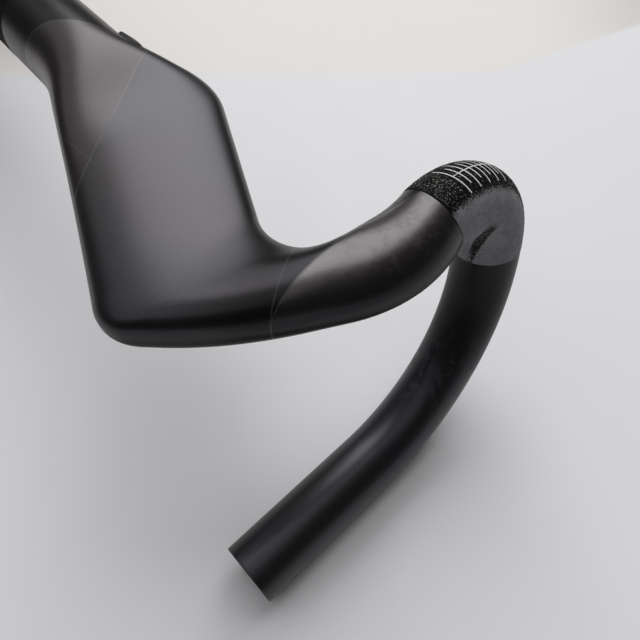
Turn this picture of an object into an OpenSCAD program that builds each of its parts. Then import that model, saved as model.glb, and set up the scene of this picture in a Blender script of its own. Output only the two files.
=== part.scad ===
// Gravel drop handlebar: one hollow moulded carbon bar with swept aero tops and flared drops,
// and a rubber cable port in the front of each top. The bar is symmetric about X = 0.
// X points to the rider's right, Y forward, Z up. The origin is the middle of the stem clamp.

/* [Stem clamp] */
// Outside diameter of the round centre.
clamp_d = 31.8; // [31.4:0.1:32.2]
// Length of the round centre that the stem grips.
clamp_len = 80; // [76:1:84]
// Wall of the centre and of the tops.
top_wall = 2.6; // [2.2:0.1:3]

/* [Aero top] */
// Thickness of the flat top.
wing_h = 18.2; // [16.6:0.2:19.4]
// Squareness of the flat top's section. 2 is an ellipse.
wing_square = 2.8; // [2.4:0.1:3.2]
// Front edge: end of the straight run from the clamp.
front_start_x = 82; // [79:0.5:85]
// Front edge: fillet at the end of the straight run.
front_start_r = 37; // [30:1:44]
// Front edge: shoulder, distance out.
shoulder_x = 112.4; // [110:0.2:115]
// Front edge: shoulder, distance forward.
shoulder_y = 28.6; // [27:0.1:30]
// Front edge: shoulder fillet.
shoulder_r = 25; // [20:0.5:29]
// Front edge: inner corner behind the lever, distance out.
nook_x = 200.4; // [198:0.2:202]
// Front edge: inner corner behind the lever, distance forward.
nook_y = -11.4; // [-14:0.2:-9]
// Front edge: inner corner fillet.
nook_r = 17.4; // [14:0.2:19]
// Rear edge: end of the straight run from the clamp.
rear_start_x = 75.4; // [72:0.2:79]
// Rear edge: fillet at the end of the straight run.
rear_start_r = 60; // [50:1:70]
// Rear edge: outer corner, distance out.
corner_x = 173; // [170:0.5:175.5]
// Rear edge: outer corner, distance forward.
corner_y = -52.5; // [-55:0.5:-50]
// Rear edge: outer corner fillet.
corner_r = 13; // [10:0.5:16]
// Rear edge: bow between the corner and the flank, distance out.
bow_x = 196.8; // [195:0.2:198.4]
// Rear edge: bow between the corner and the flank, distance forward.
bow_y = -29; // [-31:0.5:-28]
// Rear edge: bow fillet.
bow_r = 125; // [100:1:135]
// Rear edge: flank behind the lever seat, distance outside the seat.
flank_out = 9.2; // [8:0.1:10.4]
// Rear edge: flank behind the lever seat, distance back from the seat.
flank_back = 21.5; // [20.5:0.1:23.5]
// Rear edge: flank fillet.
flank_r = 54; // [48:1:58]
// Height of the flat top's middle at its outer end.
wing_z = -5.9; // [-7.5:0.1:-4.5]
// Height of the ramp's middle between the flat top and the lever seat.
ramp_z = -4.2; // [-5.6:0.1:-3]
// Step from the gritty clamp and lever seats down to the smooth laminate.
coat = 0.12; // [0.12:0.02:0.2]

/* [Drop] */
// Outside diameter of the hook and the drop.
tube_d = 23.8; // [23.6:0.1:24.2]
// Wall of the hook and the drop.
tube_wall = 1.9; // [1.5:0.1:2.3]
// Half width where the straight ends meet the main bends, to the middle of the tube.
bend_x = 222.7; // [220.7:0.1:224.7]
// Distance of that place forward of the clamp's middle.
bend_fwd = 3.1; // [1.1:0.1:5.1]
// Distance of the bar ends below the clamp's middle.
end_down = 99.7; // [97:0.1:103]
// Lean of the drop's plane, bottom outward.
flare = 12.4; // [10:0.1:15]
// Outward turn of the straight bar end.
splay = 2.2; // [1:0.1:4]
// Straight length of the bar end.
end_len = 60.4; // [54:0.1:64]
// Radius of the main bend of the drop.
drop_r = 69.6; // [67.6:0.1:71.6]
// Turn of the main bend of the drop.
drop_a = 91.9; // [90.4:0.1:93.4]
// Radius of the tight bend that carries the lever.
hook_r = 24.7; // [23.4:0.1:25.4]
// Turn of the tight bend that carries the lever.
hook_a = 99.4; // [97.4:0.1:101.4]

/* [Cable ports] */
// Distance of each front port from the bar's middle.
port_x = 83.5; // [82:0.5:85]
// Angle of the port above the front of the bar.
port_up = 20; // [14:1:24]
// Length of the rubber port's flange.
port_len = 15; // [13:0.5:16]
// Width of the rubber port's flange.
port_w = 9.6; // [9:0.2:10.4]
// Height of the flange over its seat at the blunt end.
port_high = 2.6; // [2:0.1:3]
// Height of the flange over its seat at the thin end.
port_low = 1.1; // [0.9:0.1:1.4]
// Depth of the flat seat under the bar's surface.
port_sink = 0.9; // [0.7:0.1:1.1]
// Width of the rubber left around the neck on each side.
port_lip = 2; // [1.6:0.1:2.4]
// Diameter of the hose hole through the rubber.
hose_d = 4.4; // [4:0.1:4.8]
// Lean of the hose hole toward the stem.
hose_lean = 30; // [20:1:36]
// Room between the rubber and the bar.
port_gap = 0.12; // [0.08:0.02:0.2]
// Length of the hose entry behind the lever seat.
entry_len = 13; // [11:0.5:15]
// Width of the hose entry behind the lever seat.
entry_w = 7; // [6:0.5:8]
// Distance of the hose entry behind the lever seat.
entry_back = 12; // [10:0.5:14]

/* [Hidden] */
$fn = 40;
clamp_r = clamp_d / 2;
seat_r = tube_d / 2;
tube_r = seat_r - coat;
core_r = clamp_r - top_wall;
lap = 0.4;
rail_arc = 16;
skin_steps = 38;
skin_sides = 32;
core_steps = 22;
core_sides = 16;

function unit(v) = v / norm(v);
function cross_unit(a, b) = unit(cross(a, b));
function clamp01(t) = max(0, min(1, t));
function ease(t) = let (u = clamp01(t)) u * u * (3 - 2 * u);
function spow(v, p) = sign(v) * pow(abs(v), p);
function column(a, b, c, o) = [[a.x, b.x, c.x, o.x], [a.y, b.y, c.y, o.y], [a.z, b.z, c.z, o.z], [0, 0, 0, 1]];

// The drop's plane: forward along the bar end, up across the drop, and out of the plane.
drop_fwd = [-sin(splay), cos(splay), 0];
drop_side = [-cos(splay), -sin(splay), 0];
drop_up = cos(flare) * [0, 0, 1] + sin(flare) * drop_side;
drop_out = cross_unit(drop_fwd, drop_up);
end_point = [bend_x, bend_fwd, -end_down] - end_len * drop_fwd;

// The middle line in that plane: a straight end, the main bend and the tight bend under the lever.
function turn(p, h, r, a) = p + r * [sin(h + a) - sin(h), cos(h) - cos(h + a)];
seat_h = drop_a + hook_a;
bend_0 = [end_len, 0];
bend_1 = turn(bend_0, 0, drop_r, drop_a);
bend_2 = turn(bend_1, drop_a, hook_r, hook_a);
seat_p = end_point + bend_2.x * drop_fwd + bend_2.y * drop_up;
seat_t = cos(seat_h) * drop_fwd + sin(seat_h) * drop_up;
seat_out = unit([-seat_t.y, seat_t.x, 0]);
seat_up = cross_unit(seat_out, -seat_t);

// Rails of the top: straight runs joined by fillets, seen from above.
function corner(a, b, c, r) =
    let (u = unit(a - b), v = unit(c - b), half = acos(u * v) / 2)
    let (o = b + unit(u + v) * r / sin(half), p = b + u * r / tan(half), q = b + v * r / tan(half))
    let (a0 = atan2(p.y - o.y, p.x - o.x), a1 = atan2(q.y - o.y, q.x - o.x))
    let (da = (a1 - a0 + 540) % 360 - 180)
    [for (k = [0 : rail_arc]) o + r * [cos(a0 + da * k / rail_arc), sin(a0 + da * k / rail_arc)]];
function rail(p, r) =
    [p[0], for (i = [1 : len(p) - 2]) each corner(p[i - 1], p[i], p[i + 1], r[i - 1]), p[len(p) - 1]];
function runs(p, i = 1, s = [0]) =
    i == len(p) ? s : runs(p, i + 1, concat(s, [s[i - 1] + norm(p[i] - p[i - 1])]));
function on_rail(p, s, d) =
    [lookup(d, [for (i = [0 : len(p) - 1]) [s[i], p[i].x]]), lookup(d, [for (i = [0 : len(p) - 1]) [s[i], p[i].y]])];
function middle_of(s, n) = s[1 + n * (rail_arc + 1) + rail_arc / 2];

seat_in = seat_p - seat_r * seat_out;
seat_ex = seat_p + seat_r * seat_out;
flank = [seat_ex.x + flank_out, seat_ex.y - flank_back];
front = rail(
    [[clamp_len / 2, clamp_r], [front_start_x, clamp_r], [shoulder_x, shoulder_y], [nook_x, nook_y],
        [seat_in.x, seat_in.y]],
    [front_start_r, shoulder_r, nook_r]);
rear = rail(
    [[clamp_len / 2, -clamp_r], [rear_start_x, -clamp_r], [corner_x, corner_y], [bow_x, bow_y],
        flank, [seat_ex.x, seat_ex.y]],
    [rear_start_r, corner_r, bow_r, flank_r]);
front_s = runs(front);
rear_s = runs(rear);
rear_a = middle_of(rear_s, 0);
rear_b = middle_of(rear_s, 1);

// Stations where the two rails answer each other: start, shoulder, corner and lever seat.
front_keys = [[0, 0], [0.12, middle_of(front_s, 0)], [0.38, middle_of(front_s, 1)],
    [0.68, middle_of(front_s, 2)], [1, front_s[len(front_s) - 1]]];
rear_keys = [[0, 0], [0.12, rear_a], [0.38, rear_a + 0.4 * (rear_b - rear_a)], [0.68, rear_b],
    [1, rear_s[len(rear_s) - 1]]];
function station(u) = lookup(u, [[0, 0], [0.34, 0.5], [0.78, 0.82], [1, 1]]);

function top_z(t) = wing_z * ease((t - 0.05) / 0.6) + (ramp_z - wing_z) * ease((t - 0.6) / 0.25)
    + (seat_p.z - ramp_z) * ease((t - 0.8) / 0.2);
function top_h(t) = clamp_r + (wing_h / 2 - clamp_r) * ease((t - 0.02) / 0.4)
    + (seat_r - wing_h / 2) * ease((t - 0.58) / 0.38);
function top_n(t) = 2 + (wing_square - 2) * (ease((t - 0.05) / 0.3) - ease((t - 0.6) / 0.38));
function top_up(t) = let (w = ease((t - 0.6) / 0.4)) unit((1 - w) * [0, 0, 1] + w * seat_up);
function wall_at(t) = top_wall + (tube_wall - top_wall) * ease((t - 0.6) / 0.4);

// One closed section of the top, shrunk by an inset, as a ring of points.
function ring(t, inset, sides) =
    let (f = on_rail(front, front_s, lookup(t, front_keys)), r = on_rail(rear, rear_s, lookup(t, rear_keys)))
    let (a = [f.x, f.y, top_z(t)], b = [r.x, r.y, top_z(t)], m = (a + b) / 2, up = top_up(t))
    let (half = (a - b) / 2, reach = (norm(half) - inset) / norm(half), h = top_h(t) - inset, n = top_n(t))
    [for (k = [0 : sides - 1]) let (w = 360 * k / sides)
        m + spow(cos(w), 2 / n) * reach * half + spow(sin(w), 2 / n) * h * up];
function shifted(points, v) = [for (p = points) p + v];

// Solid skinned through rings from the clamp to the lever seat, with a short lap at each end.
module skin(steps, sides, is_core) {
    function inset_at(t) = is_core ? coat + wall_at(t) : coat;
    rings = [
        shifted(ring(0, inset_at(0), sides), [-lap, 0, 0]),
        for (i = [0 : steps]) let (t = station(i / steps)) ring(t, inset_at(t), sides),
        shifted(ring(1, inset_at(1), sides), -lap * seat_t)];
    last = len(rings) - 1;
    faces = [
        [for (k = [sides - 1 : -1 : 0]) k],
        for (i = [0 : last - 1], k = [0 : sides - 1]) let (j = (k + 1) % sides)
            each [[i * sides + k, i * sides + j, (i + 1) * sides + j],
                [i * sides + k, (i + 1) * sides + j, (i + 1) * sides + k]],
        [for (k = [0 : sides - 1]) last * sides + k]];
    polyhedron(points = [for (r = rings) each r], faces = [for (f = faces) [for (k = [len(f) - 1 : -1 : 0]) f[k]]]);
}

module in_drop_frame() {
    multmatrix(column(drop_fwd, drop_up, drop_out, end_point)) children();
}

// Round rod along one bend of the middle line.
module bend(p, h, turn_r, a, r) {
    translate([p.x - turn_r * sin(h), p.y + turn_r * cos(h), 0])
        rotate_extrude(angle = a, start = h - 90)
            translate([turn_r, 0]) circle(r = r);
}

// The straight bar end, the drop and the proud lever seat on one side, less an inset all round.
module drop_rod(inset, over) {
    r = tube_r - inset;
    in_drop_frame() {
        translate([-over, 0, 0]) rotate([0, 90, 0]) rotate([0, 0, 90]) cylinder(r = r, h = end_len + over);
        bend(bend_0, 0, drop_r, drop_a + lap / drop_r * 180 / PI, r);
        bend(bend_1, drop_a, hook_r, hook_a, r + coat);
    }
}

// Front port: a flat seat in the front of the top, with its own frame.
port_slope = atan2(shoulder_y - clamp_r, shoulder_x - front_start_x) / 2;
port_n = [0, cos(port_up), sin(port_up)];
port_t = unit([cos(port_slope), sin(port_slope) * cos(port_up), sin(port_slope) * sin(port_up)]);
port_z = unit(cross(port_t, cross(port_n, port_t)));
port_o = [port_x, 0, 0] + (clamp_r - port_sink) * port_n;

module slot(length, width, high) {
    linear_extrude(high) {
        square([length - width, width], center = true);
        for (s = [-1, 1]) translate([s * (length - width) / 2, 0]) circle(d = width);
    }
}

module in_port_frame() {
    multmatrix(column(port_t, cross_unit(port_z, port_t), port_z, port_o)) children();
}

module port_cut() {
    in_port_frame() {
        slot(port_len + 2 * port_gap, port_w + 2 * port_gap, 6);
        translate([0, 0, -8])
            slot(port_len - 2 * port_lip + 2 * port_gap, port_w - 2 * port_lip + 2 * port_gap, 10);
    }
}

// Hose entry: an oval hole low on the inboard side, behind the lever seat.
entry_t = unit(seat_t + [0, 0, 0.2]);
entry_n = unit(-seat_out * cos(35) - seat_up * sin(35));
module entry_cut() {
    multmatrix(column(entry_t, cross_unit(entry_n, entry_t), entry_n, seat_p + entry_back * seat_t))
        slot(entry_len, entry_w, tube_d);
}

module half_outer() {
    skin(skin_steps, skin_sides, false);
    drop_rod(0, 0);
}

module half_inner() {
    skin(core_steps, core_sides, true);
    drop_rod(tube_wall, 1);
    port_cut();
    entry_cut();
}

module bar_shell() {
    color("#1d1e21")
        difference() {
            union() {
                rotate([0, 90, 0]) cylinder(r = clamp_r, h = clamp_len, center = true);
                half_outer();
                mirror([1, 0, 0]) half_outer();
            }
            rotate([0, 90, 0]) cylinder(r = core_r, h = clamp_len, center = true);
            half_inner();
            mirror([1, 0, 0]) half_inner();
        }
}

// Rubber port: a flange that slopes down outward, a neck through the wall and a barb inside it.
module port_grommet() {
    neck_len = port_len - 2 * port_lip;
    neck_w = port_w - 2 * port_lip;
    fall = atan2(port_high - port_low, port_len);
    in_port_frame()
        difference() {
            union() {
                slot(port_len, port_w, port_high);
                translate([0, 0, -top_wall]) slot(neck_len, neck_w, top_wall + 1);
                translate([0, 0, -top_wall - 1.2]) slot(neck_len + 1, neck_w + 1, 1.4);
            }
            translate([-port_len / 2, 0, port_high])
                rotate([0, fall, 0])
                    translate([-5, -port_w, 0]) cube([port_len + 10, port_w * 2, 5]);
            translate([-port_len / 8, 0, 0])
                rotate([0, -hose_lean, 0]) cylinder(d = hose_d, h = 2 * port_len, center = true);
        }
}

module port_grommet_right() {
    color("#0c0c0d") port_grommet();
}

module port_grommet_left() {
    color("#0c0c0d") mirror([1, 0, 0]) port_grommet();
}

bar_shell();
port_grommet_right();
port_grommet_left();
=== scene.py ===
"""Dresses the packed gravel drop handlebar: moulded shell, grit coats, lever scale and rubber hose ports."""

import logging
import math
from dataclasses import dataclass, field
from enum import Enum
from functools import reduce

import bmesh
import bpy
import numpy as np
from mathutils import Matrix, Vector
from mathutils.kdtree import KDTree


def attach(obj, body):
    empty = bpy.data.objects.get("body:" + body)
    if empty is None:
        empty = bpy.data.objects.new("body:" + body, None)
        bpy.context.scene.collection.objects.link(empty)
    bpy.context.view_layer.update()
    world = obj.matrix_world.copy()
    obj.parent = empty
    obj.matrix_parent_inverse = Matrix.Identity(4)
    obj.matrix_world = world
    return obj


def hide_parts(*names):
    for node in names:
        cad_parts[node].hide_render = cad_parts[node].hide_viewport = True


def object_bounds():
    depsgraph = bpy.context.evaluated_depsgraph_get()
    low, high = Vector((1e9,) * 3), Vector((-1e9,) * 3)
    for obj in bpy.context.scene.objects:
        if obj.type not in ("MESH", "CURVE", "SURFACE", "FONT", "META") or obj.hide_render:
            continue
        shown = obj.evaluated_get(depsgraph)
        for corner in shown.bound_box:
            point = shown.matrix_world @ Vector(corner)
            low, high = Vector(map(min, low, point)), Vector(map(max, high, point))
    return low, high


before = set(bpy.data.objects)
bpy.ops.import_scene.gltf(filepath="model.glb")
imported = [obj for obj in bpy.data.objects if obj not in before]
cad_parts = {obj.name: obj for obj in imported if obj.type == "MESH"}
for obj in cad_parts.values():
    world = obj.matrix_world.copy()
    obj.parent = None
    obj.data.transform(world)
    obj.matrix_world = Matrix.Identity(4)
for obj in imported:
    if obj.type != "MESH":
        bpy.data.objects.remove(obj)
CAD_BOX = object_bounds()
MM = 0.001
BODY = "root"
log = logging.getLogger("handlebar")

CREASE = 35.0

Points = np.ndarray
Pair = tuple[float, float]
Triple = tuple[float, float, float]
Colour = tuple[float, float, float, float]
Socket = bpy.types.NodeSocket
Value = Socket | float | tuple[float, ...]


class Side(Enum):
    """The two halves of the bar, as the rider sees them."""

    RIGHT = "right"
    LEFT = "left"


def unit(v: Points) -> Points:
    """Returns the vector at length 1."""
    return np.asarray(v, float) / np.linalg.norm(v)


def ease(t: Points) -> Points:
    """Returns a smooth step from 0 to 1 as t goes from 0 to 1."""
    u = np.clip(t, 0.0, 1.0)
    return u * u * (3 - 2 * u)


def rise(t: Points, stretch: Pair) -> Points:
    """Returns a smooth step from 0 to 1 over a stretch given by its start and its length."""
    return ease((t - stretch[0]) / stretch[1])


def cos_d(a: float) -> float:
    """Returns the cosine of an angle in degrees."""
    return math.cos(math.radians(a))


def sin_d(a: float) -> float:
    """Returns the sine of an angle in degrees."""
    return math.sin(math.radians(a))


def signed_power(v: Points, p: float) -> Points:
    """Returns |v| to the power p with the sign of v."""
    return np.sign(v) * np.abs(v) ** p


def smooth_lookup(x: float, keys: list[Pair]) -> float:
    """Reads a value between keys on a monotone cubic.

    Args:
        x: Where to read.
        keys: Pairs of place and value, in rising order of place.

    Returns:
        The value at x, with no corner at any key.
    """
    a, b = np.array(keys, float).T
    slopes = np.diff(b) / np.diff(a)
    tangents = np.concatenate([[slopes[0]], np.zeros(len(a) - 2), [slopes[-1]]])
    for i in range(1, len(a) - 1):
        if slopes[i - 1] * slopes[i] > 0:
            tangents[i] = 2 * slopes[i - 1] * slopes[i] / (slopes[i - 1] + slopes[i])
    i = int(np.clip(np.searchsorted(a, x) - 1, 0, len(a) - 2))
    h = a[i + 1] - a[i]
    u = (x - a[i]) / h
    return float(
        b[i] * (1 + 2 * u) * (1 - u) ** 2
        + h * tangents[i] * u * (1 - u) ** 2
        + b[i + 1] * u * u * (3 - 2 * u)
        + h * tangents[i + 1] * u * u * (u - 1)
    )


@dataclass(frozen=True)
class Rail:
    """One edge of the top seen from above: straight runs joined by round fillets, in millimetres."""

    corners: tuple[Pair, ...]
    radii: tuple[float, ...]
    arc_steps: int = 64

    def trace(self) -> tuple[Points, Points, list[float]]:
        """Walks along the rail.

        Returns:
            The rail's points, the length up to each of them, and the length up to each fillet's middle.
        """
        points = [np.array(self.corners[0], float)]
        middles = []
        for i, radius in enumerate(self.radii, start=1):
            a, b, c = (np.array(self.corners[j], float) for j in (i - 1, i, i + 1))
            u, v = unit(a - b), unit(c - b)
            half = math.acos(float(u @ v)) / 2
            centre = b + unit(u + v) * radius / math.sin(half)
            first = b + u * radius / math.tan(half) - centre
            last = b + v * radius / math.tan(half) - centre
            start = math.atan2(first[1], first[0])
            sweep = (math.atan2(last[1], last[0]) - start + 3 * math.pi) % (2 * math.pi) - math.pi
            for k in range(self.arc_steps + 1):
                angle = start + sweep * k / self.arc_steps
                points.append(centre + radius * np.array([math.cos(angle), math.sin(angle)]))
                if k == self.arc_steps // 2:
                    middles.append(len(points) - 1)
        points.append(np.array(self.corners[-1], float))
        trail = np.array(points)
        lengths = np.concatenate([[0], np.cumsum(np.linalg.norm(np.diff(trail, axis=0), axis=1))])
        return trail, lengths, [float(lengths[m]) for m in middles]


@dataclass(frozen=True)
class DropForm:
    """The hook, the drop and the straight bar end of the right half, in millimetres and degrees."""

    tube_d: float = 23.8
    tube_wall: float = 1.9
    coat: float = 0.12
    coat_low: float = 166.2
    bend_x: float = 222.7
    bend_fwd: float = 3.1
    end_down: float = 99.7
    flare: float = 12.4
    splay: float = 2.2
    end_len: float = 60.4
    drop_r: float = 69.6
    drop_a: float = 91.9
    hook_r: float = 24.7
    hook_a: float = 99.4

    @property
    def seat_r(self) -> float:
        """Outside radius of the lever seat."""
        return self.tube_d / 2

    @property
    def tube_r(self) -> float:
        """Outside radius of the smooth tube."""
        return self.seat_r - self.coat

    @property
    def axes(self) -> tuple[Points, Points, Points]:
        """Directions forward along the bar end, up across the drop, and out of the drop's plane.

        Returns:
            The three directions, each of length 1.
        """
        forward = np.array([-sin_d(self.splay), cos_d(self.splay), 0.0])
        side = np.array([-cos_d(self.splay), -sin_d(self.splay), 0.0])
        up = cos_d(self.flare) * np.array([0.0, 0.0, 1.0]) + sin_d(self.flare) * side
        return forward, up, unit(np.cross(forward, up))

    @property
    def length(self) -> float:
        """Length of the middle line from the bar end to the top of the hook."""
        return (self.end_len + math.radians(self.drop_a) * self.drop_r
                + math.radians(self.hook_a) * self.hook_r)

    def middle(self, s: float) -> tuple[Points, float]:
        """Walks up the middle line.

        Args:
            s: Length from the bar end.

        Returns:
            The point on the middle line, and its heading in degrees above the bar end's direction.
        """
        forward, up, _ = self.axes
        place = np.array([min(s, self.end_len) - self.end_len, 0.0])
        heading = 0.0
        left = s - self.end_len
        for radius, turn in ((self.drop_r, self.drop_a), (self.hook_r, self.hook_a)):
            angle = min(max(math.degrees(left / radius), 0.0), turn)
            place = place + radius * np.array(
                [sin_d(heading + angle) - sin_d(heading), cos_d(heading) - cos_d(heading + angle)])
            heading += angle
            left -= math.radians(turn) * radius
        origin = np.array([self.bend_x, self.bend_fwd, -self.end_down])
        return origin + place[0] * forward + place[1] * up, heading

    def heading_vector(self, heading: float) -> Points:
        """Returns the direction of the middle line at a heading."""
        forward, up, _ = self.axes
        return cos_d(heading) * forward + sin_d(heading) * up

    def normal(self, heading: float) -> Points:
        """Returns the direction in the drop's plane that points to the inside of its bends."""
        forward, up, _ = self.axes
        return -sin_d(heading) * forward + cos_d(heading) * up

    def on_tube(self, s: float, turn: float, radius: float) -> tuple[Points, Points]:
        """Finds a place on the tube.

        Args:
            s: Length from the bar end.
            turn: Degrees round the tube from the outside of its bends toward the rider's right.
            radius: Distance from the middle line.

        Returns:
            The point and the direction straight out of the tube.
        """
        point, heading = self.middle(s)
        out = sin_d(turn) * self.axes[2] - cos_d(turn) * self.normal(heading)
        return point + radius * out, out

    def seat(self) -> tuple[Points, Points, Points, Points]:
        """Finds the top of the hook.

        Returns:
            Its point, the direction of the middle line there, and the seat's outward and upward directions.
        """
        point, heading = self.middle(self.length)
        along = self.heading_vector(heading)
        out = unit(np.array([-along[1], along[0], 0.0]))
        return point, along, out, unit(np.cross(out, -along))


@dataclass(frozen=True)
class TopForm:
    """The swept flat top of the right half, from the clamp to the lever seat, in millimetres.

    Each corner is its place and its fillet's radius. A stretch is its start and its length, as shares of the
    way from the clamp to the seat.
    """

    clamp_d: float = 31.8
    clamp_len: float = 80.0
    top_wall: float = 2.6
    wing_h: float = 18.2
    wing_square: float = 2.8
    front_start: Pair = (82.0, 37.0)
    shoulder: Triple = (112.4, 28.6, 25.0)
    nook: Triple = (200.4, -11.4, 17.4)
    rear_start: Pair = (75.4, 60.0)
    corner: Triple = (173.0, -52.5, 13.0)
    bow: Triple = (196.8, -29.0, 125.0)
    stops: Triple = (0.12, 0.38, 0.68)
    rear_share: float = 0.4
    sinking: Pair = (0.05, 0.6)
    climbing: Pair = (0.6, 0.25)
    settling: Pair = (0.8, 0.2)
    thinning: Pair = (0.02, 0.4)
    thickening: Pair = (0.58, 0.38)
    squaring: Pair = (0.05, 0.3)
    rounding: Pair = (0.6, 0.38)
    tilting: Pair = (0.6, 0.4)
    flank_out: float = 9.2
    flank_back: float = 21.5
    flank_r: float = 54.0
    wing_z: float = -5.9
    ramp_z: float = -4.2
    drop: DropForm = field(default_factory=DropForm)

    @property
    def clamp_r(self) -> float:
        """Outside radius of the round centre."""
        return self.clamp_d / 2

    def rails(self) -> tuple[Rail, Rail]:
        """Draws the front and the rear edge of the top.

        Returns:
            The front rail and the rear rail, both from the clamp outward.
        """
        point, _, out, _ = self.drop.seat()
        inner, outer = point - self.drop.seat_r * out, point + self.drop.seat_r * out
        start = self.clamp_len / 2
        flank = (outer[0] + self.flank_out, outer[1] - self.flank_back)
        front = Rail(
            ((start, self.clamp_r), (self.front_start[0], self.clamp_r), self.shoulder[:2], self.nook[:2],
             (inner[0], inner[1])),
            (self.front_start[1], self.shoulder[2], self.nook[2]))
        rear = Rail(
            ((start, -self.clamp_r), (self.rear_start[0], -self.clamp_r), self.corner[:2], self.bow[:2],
             flank, (outer[0], outer[1])),
            (self.rear_start[1], self.corner[2], self.bow[2], self.flank_r))
        return front, rear

    def rings(self, stations: Points, inset: Points, sides: int) -> Points:
        """Builds closed sections of the top.

        Args:
            stations: Places along the top, 0 at the clamp and 1 at the lever seat.
            inset: How far each section is shrunk.
            sides: Points round each section.

        Returns:
            An array of sections by points by coordinates.
        """
        front, rear = (rail.trace() for rail in self.rails())
        stops = (0, *self.stops, 1)
        first, second = rear[2][:2]
        between = first + self.rear_share * (second - first)
        front_keys = list(zip(stops, (0, *front[2], front[1][-1])))
        rear_keys = list(zip(stops, (0, first, between, second, rear[1][-1])))
        seat_point, _, _, seat_up = self.drop.seat()
        angle = 2 * np.pi * np.arange(sides) / sides
        sections = []
        for t, shrink in zip(stations, inset):
            ends = []
            for (trail, lengths, _), keys in ((front, front_keys), (rear, rear_keys)):
                s = smooth_lookup(t, keys)
                ends.append(np.array([np.interp(s, lengths, trail[:, axis]) for axis in (0, 1)]))
            level = (self.wing_z * rise(t, self.sinking)
                     + (self.ramp_z - self.wing_z) * rise(t, self.climbing)
                     + (seat_point[2] - self.ramp_z) * rise(t, self.settling))
            high = (self.clamp_r + (self.wing_h / 2 - self.clamp_r) * rise(t, self.thinning)
                    + (self.drop.seat_r - self.wing_h / 2) * rise(t, self.thickening)) - shrink
            square = 2 + (self.wing_square - 2) * (rise(t, self.squaring) - rise(t, self.rounding))
            turn = rise(t, self.tilting)
            up = unit((1 - turn) * np.array([0.0, 0.0, 1.0]) + turn * seat_up)
            a, b = (np.append(end, level) for end in ends)
            half = (a - b) / 2
            reach = (np.linalg.norm(half) - shrink) / np.linalg.norm(half)
            across = signed_power(np.cos(angle), 2 / square)[:, None] * reach * half
            upward = signed_power(np.sin(angle), 2 / square)[:, None] * high * up
            sections.append((a + b) / 2 + across + upward)
        return np.array(sections)

    def wall(self, stations: Points) -> Points:
        """Returns the wall's thickness at each station."""
        return self.top_wall + (self.drop.tube_wall - self.top_wall) * rise(stations, self.tilting)


@dataclass(frozen=True)
class PortForm:
    """The oval hose port in the front of a top, in millimetres and degrees."""

    port_x: float = 83.5
    port_up: float = 20.0
    port_len: float = 15.0
    port_w: float = 9.6
    port_high: float = 2.6
    port_low: float = 1.1
    port_sink: float = 0.9
    port_lip: float = 2.0
    hose_d: float = 4.4
    hose_lean: float = 30.0
    gap: float = 0.12
    entry_len: float = 13.0
    entry_w: float = 7.0
    entry_back: float = 12.0
    entry_rise: float = 0.2
    entry_tilt: float = 35.0

    @property
    def neck(self) -> Pair:
        """Length and width of the neck."""
        return self.port_len - 2 * self.port_lip, self.port_w - 2 * self.port_lip

    def place(self, top: TopForm) -> Matrix:
        """Finds the port's own frame on the right top, with Z out of the bar and X outward along it.

        Args:
            top: The top that the port sits in.

        Returns:
            The frame, in millimetres.
        """
        run = top.shoulder[0] - top.front_start[0]
        slope = math.degrees(math.atan2(top.shoulder[1] - top.clamp_r, run)) / 2
        out = np.array([0.0, cos_d(self.port_up), sin_d(self.port_up)])
        along = unit([cos_d(slope), sin_d(slope) * cos_d(self.port_up), sin_d(slope) * sin_d(self.port_up)])
        z = unit(np.cross(along, np.cross(out, along)))
        origin = np.array([self.port_x, 0, 0]) + (top.clamp_r - self.port_sink) * out
        return frame_matrix(along, unit(np.cross(z, along)), z, origin)

    def entry_place(self, top: TopForm) -> Matrix:
        """Finds the frame of the hose entry behind the right lever seat.

        Args:
            top: The top, which knows its lever seat.

        Returns:
            The frame, in millimetres.
        """
        point, along, out, up = top.drop.seat()
        x = unit(along + np.array([0, 0, self.entry_rise]))
        z = unit(-out * cos_d(self.entry_tilt) - up * sin_d(self.entry_tilt))
        return frame_matrix(x, unit(np.cross(z, x)), z, point + self.entry_back * along)


def frame_matrix(x: Points, y: Points, z: Points, origin: Points) -> Matrix:
    """Returns the matrix of a frame, from its axes and its origin."""
    rows = [[x[i], y[i], z[i], origin[i]] for i in range(3)]
    return Matrix(rows + [[0, 0, 0, 1]])


def slot_outline(length: float, width: float, points: int) -> Points:
    """Draws a slot with round ends, centred on the origin, as evenly spaced points.

    Args:
        length: The slot's whole length.
        width: Its width.
        points: How many points to return.

    Returns:
        The points, counted anticlockwise from the middle of the upper edge.
    """
    straight, radius = length - width, width / 2
    total = 2 * straight + 2 * math.pi * radius
    outline = []
    for k in range(points):
        s = (k / points * total + straight / 2) % total
        if s < straight:
            outline.append((straight / 2 - s, radius))
        elif s < straight + math.pi * radius:
            a = math.pi / 2 + (s - straight) / radius
            outline.append((-straight / 2 + radius * math.cos(a), radius * math.sin(a)))
        elif s < 2 * straight + math.pi * radius:
            outline.append((-straight / 2 + s - straight - math.pi * radius, -radius))
        else:
            a = -math.pi / 2 + (s - 2 * straight - math.pi * radius) / radius
            outline.append((straight / 2 + radius * math.cos(a), radius * math.sin(a)))
    return np.array(outline)


def slot_ring(length: float, width: float, z: float, points: int) -> Points:
    """Returns a slot's outline as a section at one height."""
    return np.column_stack([slot_outline(length, width, points), np.full(points, z)])


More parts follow.
